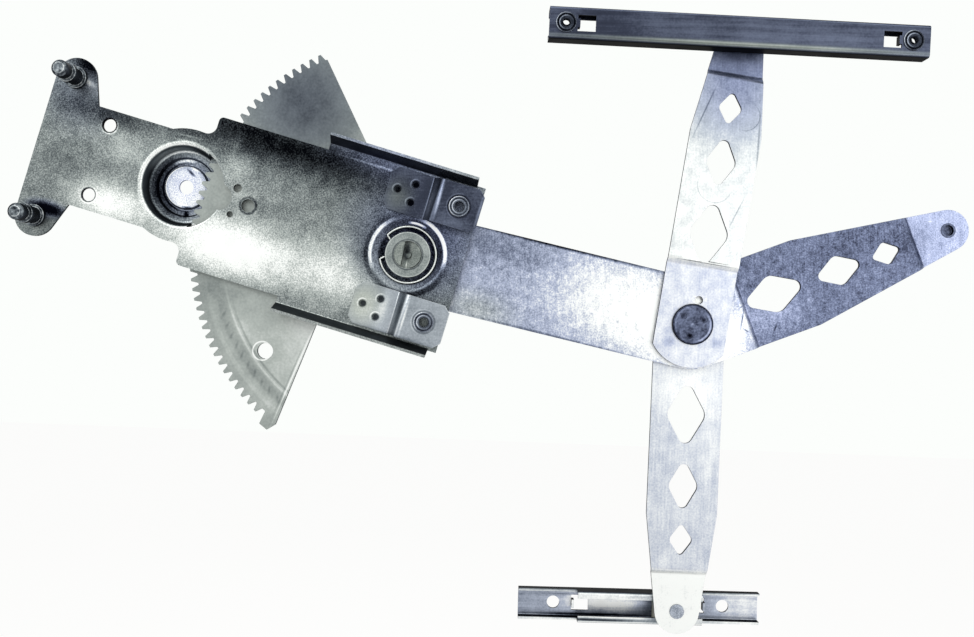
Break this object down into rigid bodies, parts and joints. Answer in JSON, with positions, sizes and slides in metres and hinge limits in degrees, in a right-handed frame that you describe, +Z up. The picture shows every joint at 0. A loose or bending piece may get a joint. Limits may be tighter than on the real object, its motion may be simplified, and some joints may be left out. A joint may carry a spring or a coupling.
{
  "type": "window regulator",
  "caption": "Scissor window regulator for a car door: pressed base plate, toothed sector on a lift arm, crossed equaliser arms, a fixed guide channel and a glass channel.",
  "frame": {"origin": "middle of the pinion pilot bore, on the cabin face of the motor cup's raised disc", "axes": "+X along the door, from the motor end towards the lift arm's roller; +Y from the cabin towards the glass; +Z up"},
  "size_m": [0.6175, 0.057, 0.4022],
  "materials": {
    "zinc_plate": "bright zinc-plated pressed sheet",
    "plated_nut": "zinc-plated steel",
    "turned_steel": "turned zinc-plated steel",
    "bush_bronze": "sintered bronze, oily",
    "spring_steel": "spring steel",
    "gear_steel": "fine-blanked steel, matt and greasy",
    "arm_steel": "zinc-plated pressed strip",
    "dark_steel": "dark passivated steel",
    "nylon": "natural nylon",
    "channel_steel": "roll-formed zinc-plated steel"
  },
  "bodies": {
    "base": {"base_plate": "zinc_plate", "upper_bracket": "zinc_plate", "lower_bracket": "zinc_plate", "upper_bracket_nut": "plated_nut", "lower_bracket_nut": "plated_nut", "upper_door_stud": "turned_steel", "lower_door_stud": "turned_steel", "pivot_bush": "bush_bronze", "pivot_snap_ring": "spring_steel"},
    "lift": {"pivot_post": "turned_steel", "pivot_washer": "turned_steel", "sector_gear": "gear_steel", "sector_rivets": "turned_steel", "lift_arm": "arm_steel", "lift_arm_pin": "dark_steel", "lift_arm_roller_clip": "spring_steel"},
    "roller": {"lift_arm_roller": "nylon"},
    "equaliser": {"upper_equaliser_arm": "arm_steel", "lower_equaliser_arm": "arm_steel", "scissor_rivet": "dark_steel", "scissor_washers": "turned_steel", "upper_slide_pin": "turned_steel", "lower_slide_pin": "turned_steel"},
    "upper_shoe": {"upper_slide_shoe": "nylon"},
    "fixed_channel": {"upper_channel": "channel_steel", "upper_channel_nuts": "plated_nut"},
    "lower_shoe": {"lower_slide_shoe": "nylon"},
    "glass_channel": {"lower_channel": "channel_steel"}
  },
  "joints": [
    {"name": "sector_pivot", "type": "hinge", "parent": "base", "child": "lift", "pos_m": [0.14596, 0, -0.0387], "axis": [0, -1, 0], "range_deg": [-54, 44]},
    {"name": "roller_spin", "type": "hinge", "parent": "lift", "child": "roller", "pos_m": [0.49745, 0.012, -0.00856], "axis": [0, -1, 0], "continuous": true},
    {"name": "scissor_pivot", "type": "hinge", "parent": "lift", "child": "equaliser", "pos_m": [0.33067, 0, -0.07628], "axis": [0, -1, 0], "range_deg": [-75, 30]},
    {"name": "upper_shoe_swivel", "type": "hinge", "parent": "equaliser", "child": "upper_shoe", "pos_m": [0.35534, -0.01, 0.10858], "axis": [0, -1, 0], "range_deg": [-60, 60]},
    {"name": "fixed_channel_slide", "type": "slide", "parent": "upper_shoe", "child": "fixed_channel", "axis": [0.9999, 0, -0.014], "range_m": [-0.0805, 0.0909]},
    {"name": "lower_shoe_swivel", "type": "hinge", "parent": "equaliser", "child": "lower_shoe", "pos_m": [0.32969, 0.012, -0.26438], "axis": [0, -1, 0], "range_deg": [-60, 60]},
    {"name": "glass_channel_slide", "type": "slide", "parent": "lower_shoe", "child": "glass_channel", "axis": [0.9999, 0, 0.0122], "range_m": [-0.0049, 0.0517]}
  ]
}
